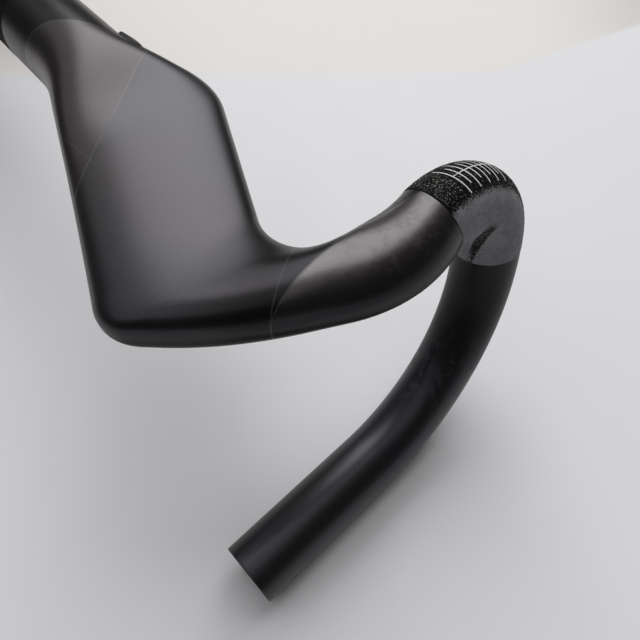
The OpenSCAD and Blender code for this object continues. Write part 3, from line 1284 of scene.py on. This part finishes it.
@dataclass(frozen=True)
class SatinLaminate(Finish):
    """Black fibre laminate under a satin clear coat, with a brushed grey coat on the lever seats.

    A pair is the two ends of a soft border, the size and detail of a noise, or two values to go between.
    """

    name: str = "satin_laminate"
    cool: Colour = (0.0034, 0.0034, 0.0042, 1)
    warm: Colour = (0.0075, 0.0056, 0.0050, 1)
    cool_shine: Colour = (0.90, 0.87, 1.0, 1)
    warm_shine: Colour = (1.0, 0.90, 0.93, 1)
    brushed: Colour = (0.37, 0.365, 0.385, 1)
    gritty: Colour = (0.0055, 0.0052, 0.0052, 1)
    bare: Colour = (0.012, 0.012, 0.012, 1)
    # Painted highlight: the tone of the thin pale line along each ply edge.
    edge_highlight_tone: Colour = (0.11, 0.105, 0.10, 1)
    smear: Colour = (0.024, 0.021, 0.022, 1)
    specular: float = 0.5
    dim_specular: float = 0.05
    sparkle: Pair = (0.62, 1.38)
    roughness: float = 0.33
    drop_roughness: float = 0.43
    coated_roughness: float = 0.66
    speckle_roughness: float = 0.16
    smear_roughness: float = 0.22
    coat: Pair = (0.30, 0.90)
    coat_roughness: float = 0.31
    clamp_border: Pair = (40.4, 40.7)
    collar_border: Pair = (84.0, 88.0)
    ramp_border: Pair = (168.0, 176.0)
    tube_border: Pair = (214.0, 216.0)
    crook_shade_border: Pair = (95.0, 140.0)
    ramp_level: Pair = (-2.0, 5.0)
    under_shade_level: Pair = (-7.0, 3.0)
    ramp_off: Pair = (-0.4, 0.8)
    collar_off: Pair = (-0.3, 0.5)
    diagonal_off: Pair = (-0.3, 0.3)
    fold_off: Pair = (-30.0, -2.0)
    fold_dull: float = 0.66
    collar_dull: float = 0.60
    crook_shade_dim: float = 0.7
    cloud_noise: Pair = (46.0, 2.0)
    cloud_levels: Pair = (0.36, 0.66)
    cloud_share: float = 0.55
    speckle_noise: Pair = (0.42, 2.0)
    streak_noise: Pair = (0.5, 2.0)
    streak_stretch: Triple = (0.12, 1.0, 1.0)
    edge_highlight_noise: Pair = (4.0, 2.0)
    edge_highlight_shares: Pair = (0.4, 1.0)
    hatch_shares: Pair = (0.70, 1.0)
    pit_levels: Pair = (0.60, 0.72)
    shade_noise: Pair = (9.0, 2.0)
    shade_shares: Pair = (0.55, 1.15)
    smear_share: float = 0.7
    grain_depths: Pair = (0.010, 0.022)
    wave_noise: Pair = (5.0, 4.0)
    wave_depths: Pair = (0.015, 0.14)
    sand_noise: Pair = (0.22, 3.0)
    sand_depth: float = 0.11
    hatch_depth: float = 0.03
    zones: SeatZones = SeatZones()
    brush: BrushLines = BrushLines()
    drop_smears: Smears = Smears((218.5, 41.0, -72.0), 24.0, 6.0)
    ramp_scuffs: Smears = Smears((199.0, 26.0, 4.0), 26.0, 3.0)

    def build(self, groups: SharedGroups) -> bpy.types.Material:
        """Makes the material.

        Args:
            groups: The shared groups.

        Returns:
            The material.
        """
        material, g, shader = self.start()
        place = BarPlace.read(g)
        masks = self.find_masks(g, place)
        g.put(shader.inputs["Base Color"], self.tone(g, place, masks))
        self.shine(g, shader, masks)
        self.relief(g, shader, self.height(g, groups, place, masks))
        return material

    def find_masks(self, g: Graph, place: BarPlace) -> ShellMasks:
        """Adds the masks of every region.

        Args:
            g: The material's graph.
            place: Where each point lies.

        Returns:
            The masks.
        """
        seat, brushed = self.zones.masks(g, place)
        clamp = g.fall(place.across, *self.clamp_border)
        gritty = g.largest(g.less(seat, brushed), clamp)
        coated = g.largest(seat, clamp, place.inside)
        traces = [edge.trace(g, place.spot) for edge in (*LARGE_EDGES, *SMALL_EDGES)]
        collar, diagonal, wedge, ramp = (off for _, _, off in traces[:len(LARGE_EDGES)])
        line, lift = self.edges(g, place, traces, coated)

        outer = g.step(place.across, *self.ramp_border)
        drop = g.fall(place.arc, *self.tube_border)
        high = g.less(g.step(place.level, *self.ramp_level), drop)
        on_ramp = g.largest(g.product(g.step(ramp, *self.ramp_off), outer, high), 0.0)
        on_collar = g.product(g.step(collar, *self.collar_off), g.fall(place.across, *self.collar_border))
        inner = g.product(g.fall(diagonal, *self.diagonal_off), g.invert(on_collar))
        fold = g.product(g.step(wedge, *self.fold_off), outer, g.invert(g.largest(on_ramp, drop)))
        # Painted shade: the reflection is dimmed on the underside of the top and on the drop from its middle
        # bend up; dull carries this with the duller fold, collar and grit.
        under = g.invert(g.largest(drop, g.step(place.level, *self.under_shade_level)))
        crook_shade = g.product(drop, g.step(place.arc, *self.crook_shade_border))
        dull = g.largest(g.product(fold, self.fold_dull), g.product(on_collar, self.collar_dull), under,
                         gritty, g.product(crook_shade, self.crook_shade_dim))
        cloud = g.step(g.noise(place.spot, *self.cloud_noise), *self.cloud_levels)
        return ShellMasks(
            brushed=brushed, gritty=gritty, coated=coated, drop=drop, on_ramp=on_ramp, dull=dull,
            warmth=g.largest(g.product(cloud, self.cloud_share), inner, on_ramp), line=line, lift=lift,
            smears=self.drop_smears.trace(g, place.spot), scuffs=self.ramp_scuffs.trace(g, place.spot),
            speckle=g.noise(place.spot, *self.speckle_noise), hatch=self.brush.trace(g, place))

    def edges(self, g: Graph, place: BarPlace, traces: list[tuple[Socket, Socket, Socket]],
              hidden: Socket) -> tuple[Socket, Socket]:
        """Joins the ply edges.

        Args:
            g: The material's graph.
            place: Where each point lies.
            traces: What each edge's trace returned, the large ones first.
            hidden: Where no edge shows.

        Returns:
            A mask of their thin pale lines, which are painted highlight along the ply steps, and their
            relief in millimetres.
        """
        edges = (*LARGE_EDGES, *SMALL_EDGES)
        lines = g.total(*(g.product(line, edge.shine) for edge, (line, _, _) in zip(edges, traces)))
        lift = g.total(*(g.product(side, edge.lift) for edge, (_, side, _) in zip(edges, traces)))
        shown = g.invert(hidden)
        flat = g.vector("MULTIPLY", place.spot, (1.0, 1.0, 0.0)).outputs[0]
        worn = g.between(g.noise(flat, *self.edge_highlight_noise), *self.edge_highlight_shares)
        return g.math("MINIMUM", g.product(lines, shown, worn), 1.0), g.product(lift, shown)

    def tone(self, g: Graph, place: BarPlace, masks: ShellMasks) -> Socket:
        """Adds the colours.

        Args:
            g: The material's graph.
            place: Where each point lies.
            masks: The shell's regions.

        Returns:
            The colour that shows.
        """
        # Painted highlight: the thin pale line along each ply edge.
        base = g.blend(masks.line, g.blend(masks.warmth, self.cool, self.warm), self.edge_highlight_tone)
        base = g.blend(g.product(masks.smears, self.smear_share), base, self.smear)
        base = g.blend(masks.gritty, base, self.gritty)
        grey = g.blend(g.between(masks.hatch, *self.hatch_shares), self.gritty, self.brushed)
        grey = g.blend(g.step(masks.speckle, *self.pit_levels), grey, self.gritty)
        shade = g.between(g.noise(place.spot, *self.shade_noise), *self.shade_shares)
        base = g.blend(masks.brushed, base, g.blend(shade, self.gritty, grey))
        return g.blend(place.inside, base, self.bare)

    def shine(self, g: Graph, shader: bpy.types.Node, masks: ShellMasks) -> None:
        """Adds the gloss of the laminate and of its clear coat to the shader, cut down where the dull mask
        holds painted shade.

        Args:
            g: The material's graph.
            shader: The shader to feed.
            masks: The shell's regions.
        """
        level = g.between(masks.dull, self.specular, self.dim_specular)
        rough = g.total(g.between(masks.drop, self.roughness, self.drop_roughness),
                        g.product(g.less(masks.speckle, 0.5), self.speckle_roughness),
                        g.product(g.largest(masks.smears, masks.scuffs), self.smear_roughness))
        coat = g.product(g.between(masks.on_ramp, *self.coat), g.invert(g.largest(masks.coated, masks.dull)))
        for name, value in (
                ("Specular Tint", g.blend(masks.warmth, self.cool_shine, self.warm_shine)),
                ("Specular IOR Level", g.product(g.between(masks.speckle, *self.sparkle), level)),
                ("Roughness", g.between(masks.coated, rough, self.coated_roughness)),
                ("Coat Weight", coat),
                ("Coat Roughness", self.coat_roughness)):
            g.put(shader.inputs[name], value)

    def height(self, g: Graph, groups: SharedGroups, place: BarPlace, masks: ShellMasks) -> Socket:
        """Adds the relief.

        Args:
            g: The material's graph.
            groups: The shared groups.
            place: Where each point lies.
            masks: The shell's regions.

        Returns:
            The height in millimetres.
        """
        stretched = g.vector("MULTIPLY", place.spot, self.streak_stretch).outputs[0]
        streaks = g.noise(stretched, *self.streak_noise)
        fibres = g.product(g.total(masks.speckle, streaks), g.between(masks.on_ramp, *self.grain_depths))
        wave_depth = g.between(masks.on_ramp, *self.wave_depths)
        waves = self.grain(g, groups, place.spot, self.wave_noise, wave_depth)
        sand = self.grain(g, groups, place.spot, self.sand_noise, self.sand_depth)
        return g.total(fibres, g.product(waves, g.invert(masks.coated)), masks.lift,
                       g.product(masks.hatch, g.product(masks.brushed, self.hatch_depth)),
                       g.product(sand, masks.coated))


@dataclass(frozen=True)
class GritFinish(Finish):
    """Sharp black grains with some pale ones among them, which stand partly for pale grit and partly for
    painted glints off the grains' facets.
    """

    name: str = "grit_grains"
    dark: Colour = (0.006, 0.0058, 0.0058, 1)
    # Pale grains stand partly for pale grit and partly for painted glints.
    pale: Colour = (0.34, 0.31, 0.27, 1)
    noise_m: Pair = (0.0001, 1.0)
    roughness: Pair = (0.27, 0.57)

    def build(self) -> bpy.types.Material:
        """Makes the material.

        Returns:
            The material.
        """
        material, g, shader = self.start()
        g.put(shader.inputs["Base Color"], g.blend(g.attribute("tone"), self.dark, self.pale))
        speck = g.noise(g.place(), *self.noise_m)
        g.put(shader.inputs["Roughness"], g.between(speck, *self.roughness))
        return material


@dataclass(frozen=True)
class WornFinish(Finish):
    """A finish of two tones in patches over a fine grain, with noises as size in millimetres and detail."""

    name: str
    fresh: Colour
    worn: Colour
    patch_noise: Pair
    levels: Pair
    roughness: Pair
    grain_noise: Pair
    grain_depth: float = 0.03
    extra: str | None = None

    def build(self, groups: SharedGroups) -> bpy.types.Material:
        """Makes the material.

        Args:
            groups: The shared groups.

        Returns:
            The material.
        """
        material, g, shader = self.start()
        spot = g.place_mm()
        more = g.attribute(self.extra) if self.extra else 0.0
        mask = self.patches(g, groups, spot, self.patch_noise, self.levels, more)
        g.put(shader.inputs["Base Color"], g.blend(mask, self.fresh, self.worn))
        g.put(shader.inputs["Roughness"], g.between(mask, *self.roughness))
        self.relief(g, shader, self.grain(g, groups, spot, self.grain_noise, self.grain_depth))
        return material


# The scale's paint greys in noise patches of wear and, through the fade attribute, toward the first part of
# each line, which is painted shade.
SCALE_PAINT = WornFinish(
    "scale_paint", fresh=(0.80, 0.80, 0.79, 1), worn=(0.20, 0.20, 0.19, 1), patch_noise=(0.3, 3.0),
    levels=(0.60, 0.95), roughness=(0.5, 0.75), grain_noise=(0.2, 2.0), extra="fade")
PORT_RUBBER = WornFinish(
    "port_rubber", fresh=(0.005, 0.005, 0.005, 1), worn=(0.018, 0.018, 0.017, 1), patch_noise=(1.6, 4.0),
    levels=(0.5, 0.8), roughness=(0.5, 0.72), grain_noise=(0.25, 3.0))


GRAIN_STRETCH = (0.7, 1.25)
GRAIN_FLATTENED = 0.45
BOX_MARGIN = 0.002
PALE_AND_GLINT_TONES = (0.25, 1.0)
DULL_TONES = (0.0, 0.45)
BLACK_TONES = (0.0, 0.015)
DULL_POWER = 2.2


def grain_piece(name: str, places: Points, normals: Points, sizes: Points, pale: Points,
                rng: np.random.Generator) -> bpy.types.Object:
    """Builds many small sharp grains as one piece.

    Args:
        name: The piece's name.
        places: Their middles in millimetres.
        normals: The surface's direction at each.
        sizes: Their radii in millimetres.
        pale: How pale each is, from 0 to 1, partly pale grit and partly painted glint.
        rng: Source of their turns.

    Returns:
        The piece, with the attribute tone.
    """
    count = len(places)
    corners = np.array([(1, 1, 1), (1, -1, -1), (-1, 1, -1), (-1, -1, 1)], float) / math.sqrt(3)
    spin, _ = np.linalg.qr(rng.normal(size=(count, 3, 3)))
    spin *= np.sign(np.linalg.det(spin))[:, None, None]
    stretch = rng.uniform(*GRAIN_STRETCH, size=(count, 4, 1))
    local = np.einsum("nij,kj->nki", spin, corners) * stretch * sizes[:, None, None]
    height = np.einsum("nki,ni->nk", local, normals)[..., None]
    local -= GRAIN_FLATTENED * height * normals[:, None, :]
    points = (places[:, None, :] + local).reshape(-1, 3)
    low, high = (np.array(corner) / MM for corner in CAD_BOX)
    points = np.clip(points, low + BOX_MARGIN, high - BOX_MARGIN)
    faces = np.array([(0, 1, 2), (0, 3, 1), (0, 2, 3), (1, 3, 2)])
    faces = (faces[None] + 4 * np.arange(count)[:, None, None]).reshape(-1, 3)
    mesh = bpy.data.meshes.new(name)
    mesh.from_pydata((points * MM).tolist(), [], faces.tolist())
    tone = mesh.attributes.new("tone", "FLOAT", "POINT")
    tone.data.foreach_set("value", np.repeat(pale, 4).astype(np.float32))
    grains = new_object(name, mesh)
    mesh.shade_flat()
    return grains


def grain_tones(rng: np.random.Generator, count: int, share: Points) -> Points:
    """Draws how pale each grain is: most are black, and a share is pale, which stands partly for pale grit
    and partly for painted glints.
    """
    pale = rng.uniform(size=count) < share
    dull = rng.uniform(*DULL_TONES, count) ** DULL_POWER + rng.uniform(*BLACK_TONES, count)
    return np.where(pale, rng.uniform(*PALE_AND_GLINT_TONES, count), dull)


@dataclass
class LeverScale:
    """The white print on a lever seat: a middle line and nine cross lines, in millimetres and degrees."""

    first: float = 208.2
    pitch: float = 1.736
    count: int = 9
    middle: float = 9.5
    drift: float = 0.28
    long_half: float = 34.5
    short_half: float = 22.5
    slant: float = -0.0178
    line_width: float = 0.30
    middle_width: float = 0.38
    over: float = 0.10
    thick: float = 0.05
    end_room: float = 2.0
    width_shares: Pair = (0.82, 1.08)
    shaded_end_share: float = 0.42
    end_shade_depth: float = 0.7
    middle_steps: int = 40
    cross_steps: int = 60
    seed: int = 11
    drop: DropForm = field(default_factory=DropForm)

    @property
    def last(self) -> float:
        """Length up the tube of the last cross line."""
        return self.first - (self.count - 1) * self.pitch

    def centre(self, s: float) -> float:
        """Returns the turn of the middle line at a length up the tube."""
        return self.middle - self.drift * (self.first - s)

    def ticks(self) -> list[Pair]:
        """Returns the place and half turn of each cross line."""
        return [(self.first - i * self.pitch, self.short_half if i % 2 else self.long_half)
                for i in range(self.count)]

    def is_clear(self, s: Points, turn: Points, room: float) -> Points:
        """Tells which places keep a distance from all the lines.

        Args:
            s: Lengths up the tube.
            turn: Turns round it.
            room: The distance to keep, in millimetres.

        Returns:
            Whether each place is clear.
        """
        beside = np.abs(turn - self.centre(s)) * math.pi / 180 * self.drop.seat_r
        clear = ~((beside < room) & (s > self.last - room) & (s < self.first + room))
        for at, half in self.ticks():
            away = turn - self.centre(at)
            clear &= ~((np.abs(s - at - self.slant * away) < room) & (np.abs(away) < half + self.end_room))
        return clear

    def ribbon(self, path: list[Pair], width: float, rng: np.random.Generator) -> Points:
        """Builds the closed sections of one line along places up and round the tube.

        Args:
            path: Places up and round the tube.
            width: The line's width in millimetres.
            rng: Source of its uneven edges.

        Returns:
            The sections, of four points each.
        """
        base = self.drop.seat_r - self.drop.coat + self.over
        sections = []
        for i, (s, turn) in enumerate(path):
            before, after = path[max(i - 1, 0)], path[min(i + 1, len(path) - 1)]
            run = np.array([after[0] - before[0], math.radians(after[1] - before[1]) * base])
            side = np.array([-run[1], run[0]]) / np.linalg.norm(run) * width / 2
            side = side * rng.uniform(*self.width_shares)
            ring = []
            for sign, lift in ((1, 0), (-1, 0), (-1, self.thick), (1, self.thick)):
                at = s + sign * side[0], turn + math.degrees(sign * side[1] / base)
                ring.append(self.drop.on_tube(*at, base + lift)[0])
            sections.append(ring)
        return np.array(sections)

    def build(self, side: Side) -> bpy.types.Object:
        """Builds one side's print as a single piece.

        Args:
            side: The side it is for.

        Returns:
            The print.
        """
        rng = np.random.default_rng(self.seed)
        spots = np.linspace(self.first, self.last, self.middle_steps)
        lines = [self.ribbon([(s, self.centre(s)) for s in spots], self.middle_width, rng)]
        for at, half in self.ticks():
            away = np.linspace(-half, half, self.cross_steps)
            path = [(at + self.slant * a, self.centre(at) + a) for a in away]
            lines.append(self.ribbon(path, self.line_width, rng))
        work = bmesh.new()
        fade = []
        for rings in lines:
            cap_rings(work, rings)
            # Painted shade: the first part of each line, the inboard end of each cross line, is stored as
            # fade and greys the paint.
            worn = np.clip(self.shaded_end_share - np.arange(len(rings)) / len(rings), 0, 1) * self.end_shade_depth
            fade.append(np.repeat(worn, 4))
        name = f"lever_scale_{side.value}"
        marks = new_object(name, finished_mesh(name, work))
        stored = marks.data.attributes.new("fade", "FLOAT", "POINT")
        stored.data.foreach_set("value", np.concatenate(fade).astype(np.float32))
        return on_side(marks, side)


@dataclass
class LeverGrit:
    """The grains bonded to a lever seat, thick inboard and on top and thin on the outboard side."""

    scale: LeverScale
    zones: SeatZones = SeatZones()
    per_mm2: float = 7.0
    room: float = 0.30
    smallest: float = 0.12
    largest: float = 0.30
    proud: float = 0.13
    margin: float = 0.3
    print_ends: Pair = (15.0, 1.0)
    print_turn: float = 9.0
    print_half: float = 36.0
    print_bare: float = 0.35
    print_size: float = 0.72
    # Pale grit and painted glints: more pale grains crowd round this length and turn of the seat.
    pale_and_glint_s: Pair = (212.0, 4.5)
    pale_and_glint_turn: float = 34.0
    pale_and_glint_shares: Pair = (0.16, 0.42)
    seed: int = 23

    def build(self, side: Side) -> bpy.types.Object:
        """Builds one side's grains.

        Args:
            side: The side they are for.

        Returns:
            The grains, as one piece.
        """
        drop = self.scale.drop
        rng = np.random.default_rng(self.seed if side is Side.RIGHT else self.seed + 1)
        low, high = self.zones.low + self.margin, self.zones.high - self.margin
        count = int((high - low) * 2 * math.pi * drop.seat_r * self.per_mm2)
        s = rng.uniform(low, high, count)
        turn = rng.uniform(-180, 180, count)
        keep = self.zones.is_grit(s, turn, rng) & self.scale.is_clear(s, turn, self.room)
        before, past = self.print_ends
        printed = (s < self.scale.first + past) & (s > self.scale.first - before)
        printed &= np.abs(turn - self.print_turn) < self.print_half
        keep &= ~(printed & (rng.uniform(size=count) < self.print_bare))
        s, turn, printed = s[keep], turn[keep], printed[keep]
        frames = [drop.on_tube(a, b, drop.tube_r + self.proud) for a, b in zip(s, turn)]
        places, normals = (np.array(part) for part in zip(*frames))
        sizes = rng.uniform(self.smallest, self.largest, len(s)) * np.where(printed, self.print_size, 1.0)
        middle, reach = self.pale_and_glint_s
        near = np.exp(-((s - middle) / reach) ** 2) * np.exp(-(turn / self.pale_and_glint_turn) ** 2)
        share, more = self.pale_and_glint_shares
        tones = grain_tones(rng, len(s), share + more * near)
        return on_side(grain_piece(f"lever_grit_{side.value}", places, normals, sizes, tones, rng), side)


@dataclass
class ClampGrit:
    """The grains bonded to the round centre."""

    top: TopForm = field(default_factory=TopForm)
    per_mm2: float = 3.2
    smallest: float = 0.09
    largest: float = 0.22
    margin: float = 0.3
    sunk: float = 0.06
    pale_and_glint_share: float = 0.03
    seed: int = 31

    def build(self) -> bpy.types.Object:
        """Builds the grains.

        Returns:
            The grains, as one piece.
        """
        rng = np.random.default_rng(self.seed)
        half = self.top.clamp_len / 2 - self.margin
        count = int(2 * half * math.pi * self.top.clamp_d * self.per_mm2)
        x = rng.uniform(-half, half, count)
        angle = rng.uniform(0, 2 * math.pi, count)
        sizes = rng.uniform(self.smallest, self.largest, count)
        normals = np.column_stack([0 * x, np.cos(angle), np.sin(angle)])
        places = np.column_stack([x, 0 * x, 0 * x]) + normals * (self.top.clamp_r - self.sunk)
        tones = grain_tones(rng, count, np.full(count, self.pale_and_glint_share))
        return grain_piece("clamp_grit", places, normals, sizes, tones, rng)


@dataclass
class PortGrommet:
    """The rubber port in the front of a top: a rounded flange, a neck, a barb and a hose hole.

    The barb and the rim are steps of widening and height, up from the wall's inner face and the pocket.
    """

    port: PortForm = field(default_factory=PortForm)
    top: TopForm = field(default_factory=TopForm)
    barb: tuple[Pair, ...] = ((0.4, -1.18), (0.98, -0.9), (0.98, -0.1), (0.6, 0.18), (0.0, 0.3))
    rim: tuple[Pair, ...] = ((-0.3, 0.0), (-0.02, 0.15))
    edge: float = 0.55
    edge_share: float = 0.98
    edge_steps: int = 7
    shy: float = 0.02
    hole_shift: float = 1 / 8
    points: int = 72
    hole_points: int = 56

    def face_ring(self, shrink: float, sunk: float) -> Points:
        """Draws a section that follows the flange's slanting face.

        Args:
            shrink: How much shorter and narrower than the flange it is.
            sunk: How far it lies below the face.

        Returns:
            The section.
        """
        port = self.port
        outline = slot_outline(port.port_len - shrink, port.port_w - shrink, self.points)
        slope = (port.port_high - port.port_low) / port.port_len
        face = port.port_high - slope * (outline[:, 0] + port.port_len / 2)
        return np.column_stack([outline, face - sunk])

    def rings(self) -> Points:
        """Builds the port's sections from the barb up to the flange's face, in the port's own frame.

        Returns:
            The sections.
        """
        (length, width), wall = self.port.neck, self.top.top_wall
        steps = [(length + wide, width + wide, z - wall) for wide, z in self.barb]
        steps.append((length, width, 0.0))
        steps += [(self.port.port_len + wide, self.port.port_w + wide, z) for wide, z in self.rim]
        rings = [slot_ring(*step, self.points) for step in steps]
        for a in np.linspace(0, math.pi / 2, self.edge_steps):
            rounding = self.edge * (1 - math.sin(a)) * self.edge_share
            rings.append(self.face_ring(2 * self.edge * (1 - math.cos(a)) + self.shy, rounding + self.shy))
        rings.append(self.face_ring(3 * self.edge, self.shy))
        return np.array(rings)

    def build(self, side: Side) -> bpy.types.Object:
        """Builds one side's port and drills its hose hole.

        Args:
            side: The side it is for.

        Returns:
            The port.
        """
        port = self.port
        body = new_object(f"hose_port_{side.value}", rod_mesh("hose_port", self.rings()))
        angle = 2 * np.pi * np.arange(self.hole_points) / self.hole_points
        circle = np.column_stack([np.cos(angle), np.sin(angle), 0 * angle]) * port.hose_d / 2
        hole = np.array([circle + (0, 0, z) for z in (-port.port_len, port.port_len)])
        cutter = new_object("hose", rod_mesh("hose", hole))
        lean = Matrix.Rotation(math.radians(-port.hose_lean), 4, "Y")
        cutter.data.transform(Matrix.Translation((-port.port_len * self.hole_shift * MM, 0, 0)) @ lean)
        subtract(body, [cutter])
        move_to(body.data, port.place(self.top))
        crease(body.data)
        return on_side(body, side)


@dataclass(frozen=True)
class TableTop(Finish):
    """The plain pale table: one flat sheet, cool in front and warm beyond a curved border behind."""

    name: str = "table_top"
    front: Colour = (0.80, 0.80, 0.82, 1)
    back: Colour = (0.82, 0.79, 0.765, 1)
    # Painted shade: the warm part darkens to this colour further along the border.
    far: Colour = (0.55, 0.53, 0.515, 1)
    far_shade_border: Pair = (0.02, 0.20)
    point: Triple = (0.0, 0.163, 0.0)
    angle: float = 49.5
    straight: float = 0.126
    turned: float = 0.475
    soft: float = 0.004
    noise: Pair = (0.03, 2.0)
    roughness: Pair = (0.55, 0.7)

    def build(self) -> bpy.types.Material:
        """Makes the material.

        Returns:
            The material.
        """
        material, g, shader = self.start()
        spot = g.place()
        offset = g.vector("SUBTRACT", spot, self.point).outputs[0]
        off = g.dot(offset, (-sin_d(self.angle), cos_d(self.angle), 0.0))
        run = g.less(g.dot(offset, (cos_d(self.angle), sin_d(self.angle), 0.0)), self.straight)
        bend = g.product(g.largest(run, 0.0), self.turned)
        side = g.step(g.less(off, bend), -self.soft, self.soft)
        # Painted shade darkens the warm part further along the border.
        back = g.blend(g.step(run, *self.far_shade_border), self.back, self.far)
        g.put(shader.inputs["Base Color"], g.blend(side, self.front, back))
        g.put(shader.inputs["Roughness"], g.between(g.noise(spot, *self.noise), *self.roughness))
        return material


@dataclass(frozen=True)
class Softbox:
    """One soft lamp of the studio, placed in metres and aimed at a point of the bar."""

    name: str
    place: Triple
    target: Triple
    size: Pair
    watts: float

    def build(self) -> bpy.types.Object:
        """Adds the lamp.

        Returns:
            The lamp.
        """
        data = bpy.data.lights.new(self.name, "AREA")
        data.shape = "RECTANGLE"
        data.size, data.size_y = self.size
        data.energy = self.watts
        lamp = bpy.data.objects.new(self.name, data)
        aim = Vector(self.target) - Vector(self.place)
        lamp.rotation_euler = aim.to_track_quat("-Z", "Y").to_euler()
        lamp.location = self.place
        bpy.context.scene.collection.objects.link(lamp)
        return lamp


@dataclass
class Studio:
    """The pale table and the soft light."""

    floor_z: float = -0.11148
    floor_size: float = 2.4
    world_colour: Colour = (0.95, 0.97, 1.0, 1)
    world_strength: float = 0.05
    lamps: tuple[Softbox, ...] = (
        Softbox("window", (-1.11, 1.38, 2.34), (0.15, 0.0, 0.0), (2.80, 2.60), 80.0),
        Softbox("ceiling", (-0.90, -0.70, 3.20), (0.0, 0.0, 0.0), (5.4, 5.4), 56.0),
    )

    def build(self) -> None:
        """Builds the table, the world and the lamps, and sets the plain view transform."""
        scene = bpy.context.scene
        scene.view_settings.view_transform = "Standard"
        world = bpy.data.worlds.new("studio")
        world.use_nodes = True
        background = world.node_tree.nodes["Background"]
        background.inputs["Color"].default_value = self.world_colour
        background.inputs["Strength"].default_value = self.world_strength
        scene.world = world
        half = self.floor_size / 2
        mesh = bpy.data.meshes.new("table")
        corners = [(-half, -half), (half, -half), (half, half), (-half, half)]
        mesh.from_pydata([(x, y, self.floor_z) for x, y in corners], [], [(0, 1, 2, 3)])
        table = new_object("table", mesh)
        mesh.materials.append(TableTop().build())
        for lamp in self.lamps:
            lamp.build()


def main() -> None:
    """Builds the scene in order and reports each piece."""
    logging.basicConfig(level=logging.INFO, format="%(name)s %(message)s")
    groups = SharedGroups()
    CameraSetup().build()
    Studio().build()
    laminate, grains = SatinLaminate().build(groups), GritFinish().build()
    rubber, paint = PORT_RUBBER.build(groups), SCALE_PAINT.build(groups)
    ride_as(BarShell().build(), laminate, "carbon_shell", "bar_shell")
    ride_as(ClampGrit().build(), grains, "carbon_shell")
    scale = LeverScale()
    for side in Side:
        ride_as(PortGrommet().build(side), rubber, "port_rubber", f"port_grommet_{side.value}")
        ride_as(LeverGrit(scale).build(side), grains, "carbon_shell")
        ride_as(scale.build(side), paint, "carbon_shell")


if __name__ == "__main__":
    main()
